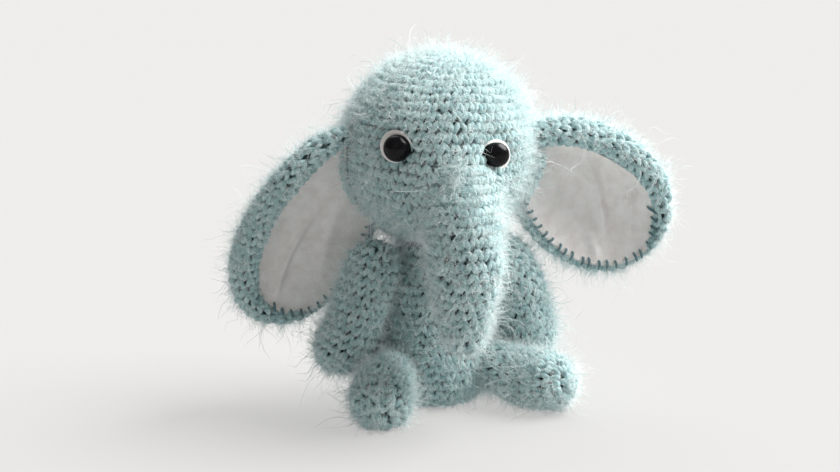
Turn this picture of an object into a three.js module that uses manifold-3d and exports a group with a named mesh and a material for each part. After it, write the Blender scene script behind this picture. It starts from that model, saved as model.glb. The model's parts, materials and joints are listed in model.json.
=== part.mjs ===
// Sitting stuffed elephant, crocheted in mohair yarn. Millimetres, +Z up.
// The toy faces -Y and +X is its own left side. The origin is the centre of its flat seat.
// Every crocheted part is a hollow shell of fabric around its own wad of stuffing.
import * as THREE from 'three';
import { mergeVertices } from 'three/addons/utils/BufferGeometryUtils.js';
import Module from 'manifold-3d';

const wasm = await Module();
wasm.setup();

// ---- Driving dimensions ----
const FABRIC = 2.2; // thickness of the crocheted fabric
const FELT = 1.0; // thickness of the felt
const GAP = 0.35; // clearance between pieces that touch

const TORSO = { height: 47.8, seatRadius: 11.5, bellyRadius: 17.2, bellyHeight: 17, neckRadius: 9.5 };
const NECK_LENGTH = 3.5; // straight part of the torso under the head
const NECK_OPENING = 8.5; // radius of the hole in the bottom of the head

const HEAD = { radius: 27.2, forward: 3, aside: 1.5, clearance: 0.6, turned: -10, tilted: 3 };

const EYE = { beadRadius: 4.1, beadHeight: 4.6, shankRadius: 1.2, shankLength: 7.2 };
const LEFT_EYE = { spread: 24.5, raised: 5.4 }; // degrees to the side of the face and above its middle
const RIGHT_EYE = { spread: 32.5, raised: 6.8 };
const EYE_FELT_RADIUS = 5.3;
const WASHER = { radius: 4.6, thickness: 1.2 };

const TRUNK = { rootRadius: 7.4, fullRadius: 11.8, tipRadius: 5.8, reach: 33, hang: 45.5, aside: 4.6, lift: 25 };
const TRUNK_FLARE = 0.3; // share of the trunk's length over which it widens from its root

const EAR = { cup: 6, curl: 0.35, egg: 0.12, root: 7, rim: 4.2, thickness: 2.4, flap: 14 };
const EAR_SLACK = 0.8; // room between the root of an ear and the head
const STITCH_RADIUS = 0.55;
const LEFT_EAR = { length: 50, width: 40, droop: 35, sweep: 12, twist: 5, height: 1.5 };
const RIGHT_EAR = { length: 59.5, width: 38, droop: 63, sweep: 22, twist: 36, height: 1 };

const ARM = { shoulderRadius: 7, handRadius: 7.8, spread: 19.3, back: 6, height: 42.6 };
const LEFT_ARM = { out: 9.4, bow: 3.6 }; // the left arm hangs further out and bends more
const RIGHT_ARM = { out: 8.2, bow: 0.2 };
const ARM_REACH = { forward: -1, down: 23.2 };

const LEG = { hipRadius: 6, footRadius: 8.1, spread: 12.6, forward: 6.5, rise: 3.6, reach: 17, lift: 18 };
const LEFT_LEG_OUT = 14.8;
const RIGHT_LEG_OUT = 10;

const AROUND = 22; // sides of the large round parts
const BALL_ROWS = 12; // rows of facets from pole to pole of the large balls
const AROUND_LIMB = 14; // sides of the limbs and the trunk
const AROUND_SMALL = 14; // sides of the eyes
const EAR_SIDES = 24; // sides of an ear's outline

// ---- Places that follow from the dimensions ----
// How far in the middle of a ball's facet lies, as a share of its radius
const FACET = Math.cos(Math.PI / AROUND) * Math.cos(Math.PI / (2 * BALL_ROWS));
const headBottom = Math.sqrt(HEAD.radius ** 2 - TORSO.neckRadius ** 2);
const HEAD_CENTRE = new THREE.Vector3(HEAD.aside, -HEAD.forward, TORSO.height + HEAD.clearance + HEAD.radius);

const radians = THREE.MathUtils.degToRad;
const UP = new THREE.Vector3(0, 0, 1);

// ---- Geometry helpers ----

/** Joins shared vertices and makes a closed mesh face outwards. */
function closed(geometry) {
  const bare = geometry.clone();
  bare.deleteAttribute('normal');
  bare.deleteAttribute('uv');
  const merged = mergeVertices(bare, 1e-4);
  const at = merged.getAttribute('position');
  const index = merged.index.array;
  const kept = [];
  const [a, b, c] = [new THREE.Vector3(), new THREE.Vector3(), new THREE.Vector3()];
  let volume = 0;
  for (let i = 0; i < index.length; i += 3) {
    const [i0, i1, i2] = [index[i], index[i + 1], index[i + 2]];
    if (i0 === i1 || i1 === i2 || i2 === i0) continue;
    kept.push(i0, i1, i2);
    volume += a.fromBufferAttribute(at, i0).dot(b.fromBufferAttribute(at, i1).cross(c.fromBufferAttribute(at, i2)));
  }
  if (volume < 0) kept.reverse();
  merged.setIndex(kept);
  return merged;
}

/** A closed geometry as a solid that can be joined and cut. */
function solid(geometry) {
  const { attributes, index } = closed(geometry);
  const mesh = new wasm.Mesh({
    numProp: 3,
    vertProperties: Float32Array.from(attributes.position.array),
    triVerts: Uint32Array.from(index.array),
  });
  return new wasm.Manifold(mesh);
}

/** A solid as a geometry again. */
function geometryOf(body) {
  const mesh = body.getMesh();
  const geometry = new THREE.BufferGeometry();
  geometry.setAttribute('position', new THREE.BufferAttribute(mesh.vertProperties, 3));
  geometry.setIndex(new THREE.BufferAttribute(mesh.triVerts, 1));
  geometry.computeVertexNormals();
  return geometry;
}

/** A round solid about +Z from a profile of [radius, height] points that starts and ends on the axis. */
function turned(profile, sides) {
  const points = profile.map(([r, z]) => new THREE.Vector2(r, z));
  return new THREE.LatheGeometry(points, sides).rotateX(Math.PI / 2);
}

/** A cylinder along +Z between two heights. */
function cylinder(radius, low, high, sides = AROUND_SMALL) {
  return turned([[0, low], [radius, low], [radius, high], [0, high]], sides);
}

/** A ball with its poles on Z. */
function ball(radius, sides = AROUND, rows = BALL_ROWS) {
  return new THREE.SphereGeometry(radius, sides, rows).rotateX(Math.PI / 2);
}

/** A skin over rings of equally many points. It is capped at both ends, or runs round as a loop. */
function loft(rings, loop = false) {
  const sides = rings[0].length;
  const points = rings.flat();
  const faces = [];
  const last = loop ? rings.length : rings.length - 1;
  for (let r = 0; r < last; r++) {
    const next = ((r + 1) % rings.length) * sides;
    for (let s = 0; s < sides; s++) {
      const t = (s + 1) % sides;
      faces.push(r * sides + s, r * sides + t, next + t, r * sides + s, next + t, next + s);
    }
  }
  if (!loop) {
    for (const first of [0, rings.length - 1]) {
      const middle = points.length;
      points.push(rings[first].reduce((sum, p) => sum.add(p), new THREE.Vector3()).divideScalar(sides));
      for (let s = 0; s < sides; s++) {
        const edge = [first * sides + s, first * sides + ((s + 1) % sides)];
        if (first === 0) edge.reverse();
        faces.push(...edge, middle);
      }
    }
  }
  const geometry = new THREE.BufferGeometry().setFromPoints(points);
  geometry.setIndex(faces);
  return geometry;
}

/** A stuffed tube along a curve, with round ends. radiusAt gives its radius from 0 at the start to 1. */
function tubeAlong(curve, radiusAt, inset, sides = AROUND_LIMB, steps = 7, capSteps = 3) {
  const across = curve.getTangentAt(0.5).cross(new THREE.Vector3(0.31, -0.9, 0.2)).normalize();
  const rings = [];
  const addRing = (t, beyond, radius) => {
    const tangent = curve.getTangentAt(t);
    const centre = curve.getPointAt(t).addScaledVector(tangent, beyond);
    const u = across.clone().addScaledVector(tangent, -across.dot(tangent)).normalize();
    const v = new THREE.Vector3().crossVectors(tangent, u);
    rings.push(Array.from({ length: sides }, (_, i) => {
      const angle = (2 * Math.PI * i) / sides;
      return centre.clone().addScaledVector(u, radius * Math.cos(angle)).addScaledVector(v, radius * Math.sin(angle));
    }));
  };
  const [start, end] = [radiusAt(0) - inset, radiusAt(1) - inset];
  for (let i = 1; i <= capSteps; i++) {
    const angle = (Math.PI / 2) * (1 - i / (capSteps + 0.6));
    addRing(0, -start * Math.sin(angle), start * Math.cos(angle));
  }
  for (let i = 0; i <= steps; i++) addRing(i / steps, 0, radiusAt(i / steps) - inset);
  for (let i = capSteps; i >= 1; i--) {
    const angle = (Math.PI / 2) * (1 - i / (capSteps + 0.6));
    addRing(1, end * Math.sin(angle), end * Math.cos(angle));
  }
  return loft(rings);
}

/** A crocheted tube: its fabric, open at the start where it is sewn on, and the stuffing in it. */
function stuffedTube(curve, radiusAt, opening) {
  const outer = solid(tubeAlong(curve, radiusAt, 0));
  const inner = solid(tubeAlong(curve, radiusAt, FABRIC));
  const stuffing = solid(tubeAlong(curve, radiusAt, FABRIC + GAP));
  return { shell: outer.subtract(inner).subtract(opening), stuffing };
}

/** A matrix that turns by an angle about an axis through a point. */
function turnAbout(point, axis, degrees) {
  return new THREE.Matrix4().makeTranslation(point.x, point.y, point.z)
    .multiply(new THREE.Matrix4().makeRotationAxis(axis, radians(degrees)))
    .multiply(new THREE.Matrix4().makeTranslation(-point.x, -point.y, -point.z));
}

/** Cuts a moving piece back from all that a fixed obstacle, a geometry, covers while the piece turns on its joint. */
function clearOf(piece, obstacle, joint, steps = 4) {
  let left = piece;
  const [low, high] = joint.range;
  for (let i = 0; i <= steps; i++) {
    const degrees = low + ((high - low) * i) / steps;
    const back = turnAbout(joint.at, joint.axis, -degrees);
    left = left.subtract(solid(obstacle.clone().applyMatrix4(back)));
  }
  return left;
}

// ---- Materials ----
const yarn = new THREE.MeshStandardMaterial({ color: 0x83aeb0, roughness: 1, metalness: 0 });
const felt = new THREE.MeshStandardMaterial({ color: 0xe4dedc, roughness: 1, metalness: 0 });
const stuffingFibre = new THREE.MeshStandardMaterial({ color: 0xf2f1ee, roughness: 1, metalness: 0 });
const beadPlastic = new THREE.MeshStandardMaterial({ color: 0x0a0a0c, roughness: 0.08, metalness: 0 });
const washerPlastic = new THREE.MeshStandardMaterial({ color: 0xe8e8e8, roughness: 0.45, metalness: 0 });

const elephant = new THREE.Group();

/** Adds a named piece to the toy, or to a group of it. */
function addPiece(name, body, material, parent = elephant) {
  const geometry = body instanceof THREE.BufferGeometry ? closed(body) : geometryOf(body);
  const mesh = new THREE.Mesh(geometry, material);
  mesh.name = name;
  parent.add(mesh);
  return mesh;
}

// ---- Torso ----

/** The outline of the torso from its seat to its neck, drawn in by an inset. */
function torsoOutline(inset) {
  const neckFoot = TORSO.height - NECK_LENGTH;
  const chestRadius = (TORSO.bellyRadius + TORSO.neckRadius) / 2 + 0.6;
  const chestHeight = (TORSO.bellyHeight + neckFoot) / 2 + 1;
  const side = new THREE.SplineCurve([
    new THREE.Vector2(TORSO.seatRadius - inset, inset),
    new THREE.Vector2(TORSO.bellyRadius - inset - 1.7, inset + 5),
    new THREE.Vector2(TORSO.bellyRadius - inset, TORSO.bellyHeight),
    new THREE.Vector2(chestRadius - inset, chestHeight),
    new THREE.Vector2(TORSO.neckRadius - inset, neckFoot),
  ]);
  return side.getPoints(8).map((p) => [p.x, p.y]);
}

/** The torso as a solid of revolution up to a given height of its neck. */
function torsoBody(inset, top) {
  return turned([[0, inset], ...torsoOutline(inset), [TORSO.neckRadius - inset, top], [0, top]], AROUND);
}

function makeTorso() {
  const outer = solid(torsoBody(0, TORSO.height));
  const inner = solid(torsoBody(FABRIC, TORSO.height + 1));
  addPiece('torso_shell', outer.subtract(inner), yarn);
  addPiece('torso_stuffing', torsoBody(FABRIC + GAP, TORSO.height - GAP), stuffingFibre);

  const ringRadius = TORSO.neckRadius + GAP + STITCH_RADIUS;
  const seam = new THREE.TorusGeometry(ringRadius, STITCH_RADIUS, 6, AROUND);
  addPiece('neck_seam_yarn', seam.translate(0, 0, TORSO.height - STITCH_RADIUS - GAP), yarn);
}

// ---- Head and eyes ----

/** Calls make for each eye with its side and the turn that brings +Z to where it looks. */
function forEachEye(make) {
  for (const [name, side, eye] of [['left', 1, LEFT_EYE], ['right', -1, RIGHT_EYE]]) {
    const direction = new THREE.Vector3(0, -1, 0)
      .applyAxisAngle(new THREE.Vector3(1, 0, 0), radians(-eye.raised))
      .applyAxisAngle(UP, radians(side * eye.spread));
    make(name, new THREE.Quaternion().setFromUnitVectors(UP, direction));
  }
}

function makeHead(head) {
  const inside = HEAD.radius - FABRIC;
  const washerTop = Math.sqrt((FACET * inside) ** 2 - (WASHER.radius + GAP) ** 2) - GAP;
  const washerBottom = washerTop - WASHER.thickness;
  const feltBottom = HEAD.radius + GAP;
  const beadBottom = feltBottom + FELT + GAP;
  const shankEnd = beadBottom - EYE.shankLength;

  const neckHole = solid(cylinder(NECK_OPENING, -HEAD.radius - 1, 0, AROUND));
  let shell = solid(ball(HEAD.radius)).subtract(solid(ball(inside))).subtract(neckHole);
  const flatBottom = solid(cylinder(HEAD.radius, -HEAD.radius - 1, -headBottom + FABRIC, AROUND));
  let stuffing = solid(ball(inside - GAP)).subtract(flatBottom);

  forEachEye((name, turn) => {
    const place = (geometry) => geometry.applyQuaternion(turn);
    const hole = EYE.shankRadius + GAP;
    shell = shell.subtract(solid(place(cylinder(hole, 0.8 * inside, HEAD.radius + 1))));
    stuffing = stuffing.subtract(solid(place(cylinder(WASHER.radius + GAP, washerBottom - GAP, HEAD.radius))));
    stuffing = stuffing.subtract(solid(place(cylinder(hole, shankEnd - GAP, HEAD.radius))));

    const dome = Array.from({ length: 6 }, (_, i) => {
      const angle = (Math.PI / 2) * (i / 5);
      return [EYE.beadRadius * Math.cos(angle), beadBottom + EYE.beadHeight * Math.sin(angle)];
    });
    const bead = [[0, shankEnd], [EYE.shankRadius, shankEnd], [EYE.shankRadius, beadBottom], ...dome];
    bead[bead.length - 1][0] = 0;
    addPiece(`${name}_eye_bead`, place(turned(bead, AROUND_SMALL)), beadPlastic, head);

    const ring = (outer, low, high) => turned(
      [[hole, low], [outer, low], [outer, high], [hole, high], [hole, low]],
      AROUND_SMALL,
    );
    addPiece(`${name}_eye_felt`, place(ring(EYE_FELT_RADIUS, feltBottom, feltBottom + FELT)), felt, head);
    addPiece(`${name}_eye_washer`, place(ring(WASHER.radius, washerBottom, washerTop)), washerPlastic, head);
  });
  addPiece('head_shell', shell, yarn, head);
  addPiece('head_stuffing', stuffing, stuffingFibre, head);
}

// ---- Trunk ----
const TRUNK_JOINT = {
  at: new THREE.Vector3(0, -0.91 * HEAD.radius, 0.38 * HEAD.radius),
  axis: new THREE.Vector3(-1, 0, 0),
  range: [0, TRUNK.lift],
};

function makeTrunk(head) {
  const root = new THREE.Vector3(0, -HEAD.radius + 7, -1.5);
  const curve = new THREE.CatmullRomCurve3([
    root,
    new THREE.Vector3(0.5 * TRUNK.aside, -0.9 * TRUNK.reach, -0.22 * TRUNK.hang),
    new THREE.Vector3(0.85 * TRUNK.aside, -TRUNK.reach, -0.48 * TRUNK.hang),
    new THREE.Vector3(TRUNK.aside, -TRUNK.reach, -0.76 * TRUNK.hang),
    new THREE.Vector3(TRUNK.aside, -0.97 * TRUNK.reach, -TRUNK.hang),
  ]);
  const radiusAt = (t) => TRUNK.tipRadius + (TRUNK.fullRadius - TRUNK.tipRadius) * (1 - t ** 2.2)
    - (TRUNK.fullRadius - TRUNK.rootRadius) * Math.max(0, 1 - t / TRUNK_FLARE) ** 1.6;
  const outer = solid(tubeAlong(curve, radiusAt, 0));
  const inner = solid(tubeAlong(curve, radiusAt, FABRIC));
  const obstacles = [ball(HEAD.radius + GAP)];
  const eyeTop = HEAD.radius + EYE.beadHeight + 2 * (FELT + GAP);
  forEachEye((_name, turn) => {
    obstacles.push(cylinder(EYE_FELT_RADIUS + GAP, HEAD.radius, eyeTop).applyQuaternion(turn));
  });
  const cut = (piece) => obstacles.reduce((left, obstacle) => clearOf(left, obstacle, TRUNK_JOINT), piece);
  addPiece('trunk_shell', cut(outer.subtract(inner)), yarn, head);
  addPiece('trunk_stuffing', cut(solid(tubeAlong(curve, radiusAt, FABRIC + GAP))), stuffingFibre, head);
}

// ---- Ears ----

/** A point of an ear: share of the way from its middle to its edge, angle round it, and height off its front. */
function earPoint(ear, share, angle, front) {
  const middle = (ear.length - EAR.root) / 2;
  const p = middle - share * ((ear.length + EAR.root) / 2) * Math.cos(angle);
  const q = share * (ear.width / 2) * Math.sin(angle) * (1 - EAR.egg * Math.cos(angle));
  const bowl = EAR.cup * share ** 2 * (1 + EAR.curl * Math.sin(angle));
  return new THREE.Vector3(p, -front - bowl, q);
}

/** A disc of the ear's outline between two heights off its front, ending a margin inside its edge. */
function earLayer(ear, back, front, margin, sides = EAR_SIDES) {
  const edge = 1 - margin / (ear.width / 2);
  const shares = [0.35, 0.7, 1];
  const ring = (share, height) => Array.from(
    { length: sides },
    (_, i) => earPoint(ear, share * edge, (2 * Math.PI * i) / sides, height),
  );
  return loft([...shares.map((s) => ring(s, front)), ...shares.reverse().map((s) => ring(s, back))]);
}

/** The yarn that runs along the edge of the felt. */
function earStitches(ear, margin, sides = EAR_SIDES) {
  const share = 1 - margin / (ear.width / 2);
  const rings = Array.from({ length: sides }, (_, i) => {
    const angle = (2 * Math.PI * i) / sides;
    const centre = earPoint(ear, share, angle, GAP + STITCH_RADIUS);
    const outwards = earPoint(ear, share * 1.02, angle, GAP + STITCH_RADIUS).sub(centre).normalize();
    const front = new THREE.Vector3(0, -1, 0).addScaledVector(outwards, outwards.y).normalize();
    return Array.from({ length: 6 }, (_unused, k) => {
      const turn = (Math.PI * k) / 3;
      return centre.clone()
        .addScaledVector(outwards, STITCH_RADIUS * Math.cos(turn))
        .addScaledVector(front, STITCH_RADIUS * Math.sin(turn));
    });
  });
  return loft(rings, true);
}

function makeEar(head, name, side, ear) {
  const joint = {
    at: new THREE.Vector3(side * HEAD.radius, 0, ear.height),
    axis: new THREE.Vector3(0, 0, side),
    range: [-EAR.flap, EAR.flap],
  };
  const placed = new THREE.Matrix4().makeTranslation(joint.at.x, joint.at.y, joint.at.z)
    .multiply(new THREE.Matrix4().makeRotationZ(radians(side * ear.sweep)))
    .multiply(new THREE.Matrix4().makeRotationY(radians(side * ear.droop)))
    .multiply(new THREE.Matrix4().makeRotationX(radians(ear.twist)))
    .multiply(new THREE.Matrix4().makeScale(side, 1, 1));
  const obstacle = ball(HEAD.radius + EAR_SLACK);
  const layers = [
    ['panel', earLayer(ear, -EAR.thickness, 0, 0), yarn],
    ['felt', earLayer(ear, GAP, GAP + FELT, EAR.rim), felt],
    ['stitch_yarn', earStitches(ear, EAR.rim - 1.4 * STITCH_RADIUS - GAP), yarn],
  ];
  for (const [layer, geometry, material] of layers) {
    const body = clearOf(solid(geometry.applyMatrix4(placed)), obstacle, joint);
    addPiece(`${name}_ear_${layer}`, body, material, head);
  }
}

// ---- Arms and legs ----

function makeArm(name, side, pose) {
  const shoulder = new THREE.Vector3(side * ARM.spread, -ARM.back, ARM.height);
  const hand = shoulder.clone().add(new THREE.Vector3(side * pose.out, -ARM_REACH.forward, -ARM_REACH.down));
  const bow = shoulder.clone().lerp(hand, 0.5).add(new THREE.Vector3(side * pose.bow, 0, 0));
  const curve = new THREE.QuadraticBezierCurve3(shoulder, bow, hand);
  const radiusAt = (t) => ARM.shoulderRadius + (ARM.handRadius - ARM.shoulderRadius) * t;
  const opening = solid(ball(3, 12, 6).translate(shoulder.x - side * ARM.shoulderRadius, shoulder.y, shoulder.z));
  const { shell, stuffing } = stuffedTube(curve, radiusAt, opening);
  addPiece(`${name}_arm_shell`, shell, yarn);
  addPiece(`${name}_arm_stuffing`, stuffing, stuffingFibre);
}

function makeLeg(name, side, outwards) {
  const hip = new THREE.Vector3(side * LEG.spread, -LEG.forward, LEG.footRadius + LEG.rise);
  const foot = hip.clone().add(new THREE.Vector3(side * outwards, -LEG.reach, -LEG.rise));
  const curve = new THREE.LineCurve3(hip, foot);
  const radiusAt = (t) => LEG.hipRadius + (LEG.footRadius - LEG.hipRadius) * t ** 0.8;
  const joint = { at: hip, axis: new THREE.Vector3(-1, 0, 0), range: [0, LEG.lift] };
  const outer = solid(tubeAlong(curve, radiusAt, 0, AROUND_LIMB, 4));
  const inner = solid(tubeAlong(curve, radiusAt, FABRIC, AROUND_LIMB, 4));
  const wad = solid(tubeAlong(curve, radiusAt, FABRIC + GAP, AROUND_LIMB, 4));
  const obstacle = torsoBody(-GAP, TORSO.height);
  addPiece(`${name}_leg_shell`, clearOf(outer.subtract(inner), obstacle, joint), yarn);
  addPiece(`${name}_leg_stuffing`, clearOf(wad, obstacle, joint), stuffingFibre);
}

// ---- Assembly ----
const headGroup = new THREE.Group();
headGroup.position.copy(HEAD_CENTRE);
headGroup.rotation.set(0, radians(HEAD.tilted), radians(HEAD.turned), 'ZYX');
elephant.add(headGroup);

makeTorso();
makeHead(headGroup);
makeTrunk(headGroup);
makeEar(headGroup, 'left', 1, LEFT_EAR);
makeEar(headGroup, 'right', -1, RIGHT_EAR);
makeArm('left', 1, LEFT_ARM);
makeArm('right', -1, RIGHT_ARM);
makeLeg('left', 1, LEFT_LEG_OUT);
makeLeg('right', -1, RIGHT_LEG_OUT);

export default elephant;
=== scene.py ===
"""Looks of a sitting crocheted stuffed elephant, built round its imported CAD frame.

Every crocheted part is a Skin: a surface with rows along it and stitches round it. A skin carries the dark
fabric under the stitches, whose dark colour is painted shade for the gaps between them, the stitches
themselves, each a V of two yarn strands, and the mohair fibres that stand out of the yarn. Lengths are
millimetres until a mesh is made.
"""
import json
import math

import bpy
import numpy as np
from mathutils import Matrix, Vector
from mathutils.bvhtree import BVHTree


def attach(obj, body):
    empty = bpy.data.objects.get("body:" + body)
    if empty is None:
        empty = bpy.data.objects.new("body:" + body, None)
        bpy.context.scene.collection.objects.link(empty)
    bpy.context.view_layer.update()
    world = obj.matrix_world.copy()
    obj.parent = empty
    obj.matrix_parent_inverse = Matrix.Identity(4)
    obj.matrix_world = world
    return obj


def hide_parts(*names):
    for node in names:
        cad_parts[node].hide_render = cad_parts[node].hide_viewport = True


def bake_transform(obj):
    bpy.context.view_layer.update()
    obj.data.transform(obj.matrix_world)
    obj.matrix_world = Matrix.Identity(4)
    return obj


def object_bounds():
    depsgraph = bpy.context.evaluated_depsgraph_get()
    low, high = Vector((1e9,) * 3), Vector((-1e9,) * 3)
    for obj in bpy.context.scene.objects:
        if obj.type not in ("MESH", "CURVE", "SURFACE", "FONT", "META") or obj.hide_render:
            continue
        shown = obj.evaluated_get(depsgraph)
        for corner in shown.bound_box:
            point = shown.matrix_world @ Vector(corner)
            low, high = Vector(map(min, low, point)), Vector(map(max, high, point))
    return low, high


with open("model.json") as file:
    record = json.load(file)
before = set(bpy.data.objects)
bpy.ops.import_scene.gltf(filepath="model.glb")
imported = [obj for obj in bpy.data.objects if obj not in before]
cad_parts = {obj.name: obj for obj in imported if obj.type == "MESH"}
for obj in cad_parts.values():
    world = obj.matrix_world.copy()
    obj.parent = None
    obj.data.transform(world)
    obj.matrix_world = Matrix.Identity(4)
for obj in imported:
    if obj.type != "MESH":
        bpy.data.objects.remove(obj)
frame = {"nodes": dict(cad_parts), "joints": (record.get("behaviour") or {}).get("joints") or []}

MM = 0.001
SIDES = ("left", "right")
cad_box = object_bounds()
JOINTS = {j["name"]: j for j in frame["joints"]}

# ---- Crochet ----
ROW_PITCH = 2.8  # height of one row
STITCH_WIDTH = 2.75
YARN_RADIUS = 0.74
STRAND_SIDES = 7
FABRIC_DEPTH = 0.9  # how far the dark fabric lies under the stitches; its dark colour is painted shade for the gaps between stitches
FIBRE_RADIUS = 0.042
HALO_REACH = 9.0  # how far the halo may stand out of the CAD box
BOX_LOW, BOX_HIGH = (np.array(corner) / MM for corner in cad_box)
GROUND = 0.06  # nothing of the toy goes lower than this


# ---- Small helpers ----

def unit(v):
    """The same vectors at length 1."""
    return v / np.maximum(np.linalg.norm(v, axis=-1, keepdims=True), 1e-12)


def joint_at(name):
    """A joint's point, in millimetres."""
    return np.array(JOINTS[name]["pos_m"]) / MM


def joint_axis(name):
    """A joint's axis, at length 1."""
    return unit(np.array(JOINTS[name]["axis"], float))


def node_points(name):
    """The vertices of a CAD node, in millimetres."""
    co = np.zeros(len(frame["nodes"][name].data.vertices) * 3)
    frame["nodes"][name].data.vertices.foreach_get("co", co)
    return co.reshape(-1, 3) / MM


def node_tree(name):
    """A CAD node's surface in millimetres, for casting rays at it."""
    mesh = frame["nodes"][name].data
    return BVHTree.FromPolygons([v.co / MM for v in mesh.vertices], [list(p.vertices) for p in mesh.polygons])


def run_of(points):
    """How far each point of a line is from its first point, along the line."""
    return np.concatenate([[0], np.cumsum(np.linalg.norm(np.diff(points, axis=0), axis=1))])


def smooth_table(table, times):
    """Evens out a table in place, and leaves its two ends where they are."""
    for _ in range(times):
        table[1:-1] = (table[:-2] + 2 * table[1:-1] + table[2:]) / 4


def lumps(points, size, seed, waves=6):
    """Smooth uneven numbers from about -1 to 1 over space, with features of a given size."""
    own = np.random.default_rng(seed)
    total = np.zeros(points.shape[:-1])
    for _ in range(waves):
        wave = unit(own.normal(size=3)) * (2 * math.pi / size) * own.uniform(0.6, 1.4)
        total += np.sin(points @ wave + own.uniform(0, 2 * math.pi))
    return total / 2.6


def make_object(name, vertices, quads, caps=(), materials=(), shade=None):
    """A mesh object from millimetre vertices, arrays of quads and equal-sided caps, and material numbers."""
    mesh = bpy.data.meshes.new(name)
    blocks = [np.asarray(b, np.int64) for b in (quads, *caps) if len(b)]
    loops = np.concatenate([b.ravel() for b in blocks])
    sizes = np.concatenate([np.full(len(b), b.shape[1]) for b in blocks])
    starts = np.concatenate([[0], np.cumsum(sizes)[:-1]])
    mesh.vertices.add(len(vertices))
    mesh.vertices.foreach_set("co", (np.asarray(vertices) * MM).astype(np.float32).ravel())
    mesh.loops.add(len(loops))
    mesh.loops.foreach_set("vertex_index", loops.astype(np.int32))
    mesh.polygons.add(len(sizes))
    mesh.polygons.foreach_set("loop_start", starts.astype(np.int32))
    mesh.polygons.foreach_set("use_smooth", np.full(len(sizes), True))
    for material in materials:
        mesh.materials.append(material)
    if shade is not None:
        mesh.polygons.foreach_set("material_index", shade.astype(np.int32))
    mesh.update(calc_edges=True)
    mesh.validate()
    obj = bpy.data.objects.new(name, mesh)
    bpy.context.scene.collection.objects.link(obj)
    return obj


def loft(name, grid, materials):
    """A closed body over rings of equally many points, capped at both ends."""
    rows, around = grid.shape[:2]
    r, k = np.arange(rows - 1)[:, None], np.arange(around)[None]
    n = (k + 1) % around
    quads = np.stack([r * around + k, r * around + n, (r + 1) * around + n, (r + 1) * around + k], -1)
    caps = np.stack([np.arange(around)[::-1], (rows - 1) * around + np.arange(around)])
    return make_object(name, grid.reshape(-1, 3), quads.reshape(-1, 4), [caps], materials)


def tubes(points, radii, up, sides):
    """Closed round strands, as vertices, quads and end caps.

    points is (strands, steps, 3), radii is (strands, steps), and up says where a strand's first corner lies.
    """
    count, steps = points.shape[:2]
    tangent = unit(np.gradient(points, axis=1))
    side = unit(np.cross(tangent, up))
    over = np.cross(side, tangent)
    angle = 2 * math.pi * np.arange(sides) / sides
    ring = np.cos(angle)[:, None] * side[:, :, None] + np.sin(angle)[:, None] * over[:, :, None]
    vertices = points[:, :, None] + radii[:, :, None, None] * ring
    base = (np.arange(count) * steps * sides)[:, None, None] + (np.arange(steps - 1) * sides)[None, :, None]
    k = np.arange(sides)[None, None]
    n = (k + 1) % sides
    quads = np.stack([base + k, base + n, base + n + sides, base + k + sides], -1).reshape(-1, 4)
    first = (np.arange(count) * steps * sides)[:, None] + np.arange(sides)[::-1]
    last = (np.arange(count) * steps * sides + (steps - 1) * sides)[:, None] + np.arange(sides)
    return vertices.reshape(-1, 3), quads, np.concatenate([first, last])


# ---- Materials ----
RAMP_START = 0.3  # where on the noise the first colour lies
RAMP_SPAN = 0.4  # how far from the first colour the last one lies
FIBRE_TONES = [
    (0.46, 0.66, 0.67),
    (0.70, 0.84, 0.84),
    (0.83, 0.925, 0.92),
    (0.91, 0.965, 0.96),
    (0.97, 0.985, 0.98),
]


def plain_material(name, color, roughness, **sockets):
    """A Principled material with constant values."""
    material = bpy.data.materials.new(name)
    material.use_nodes = True
    shader = material.node_tree.nodes["Principled BSDF"]
    shader.inputs["Base Color"].default_value = (*color, 1)
    shader.inputs["Roughness"].default_value = roughness
    for socket, value in sockets.items():
        shader.inputs[socket.replace("_", " ")].default_value = value
    return material


def add_node(material, kind, **values):
    """A shader node with some of its inputs or settings filled in."""
    node = material.node_tree.nodes.new(kind)
    for key, value in values.items():
        if key in node.inputs:
            node.inputs[key].default_value = value
        else:
            setattr(node, key, value)
    return node


def mottle(material, colours, scale, detail=4.0):
    """Lets the base colour wander between two or more colours, over noise in object space."""
    links = material.node_tree.links
    shader = material.node_tree.nodes["Principled BSDF"]
    where = add_node(material, "ShaderNodeTexCoord")
    noise = add_node(material, "ShaderNodeTexNoise", Scale=scale, Detail=detail)
    ramp = add_node(material, "ShaderNodeValToRGB")
    while len(ramp.color_ramp.elements) < len(colours):
        ramp.color_ramp.elements.new(0.5)
    for i, (element, colour) in enumerate(zip(ramp.color_ramp.elements, colours)):
        element.position = RAMP_START + RAMP_SPAN * i / (len(colours) - 1)
        element.color = (*colour, 1)
    links.new(where.outputs["Object"], noise.inputs["Vector"])
    links.new(noise.outputs["Fac"], ramp.inputs["Fac"])
    links.new(ramp.outputs["Color"], shader.inputs["Base Color"])


def roughen(material, scale, distance, strength=0.6, detail=6.0):
    """Adds a fine bump."""
    links = material.node_tree.links
    shader = material.node_tree.nodes["Principled BSDF"]
    where = add_node(material, "ShaderNodeTexCoord")
    noise = add_node(material, "ShaderNodeTexNoise", Scale=scale, Detail=detail)
    bump = add_node(material, "ShaderNodeBump", Strength=strength, Distance=distance)
    links.new(where.outputs["Object"], noise.inputs["Vector"])
    links.new(noise.outputs["Fac"], bump.inputs["Height"])
    links.new(bump.outputs["Normal"], shader.inputs["Normal"])


def make_yarn():
    material = plain_material("mohair_yarn", (0.3, 0.46, 0.48), 0.9, Sheen_Weight=0.5, Sheen_Roughness=0.5)
    mottle(material, [(0.22, 0.38, 0.40), (0.38, 0.56, 0.57), (0.56, 0.72, 0.72)], scale=520)
    roughen(material, scale=3200, distance=0.0003)
    return material


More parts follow.
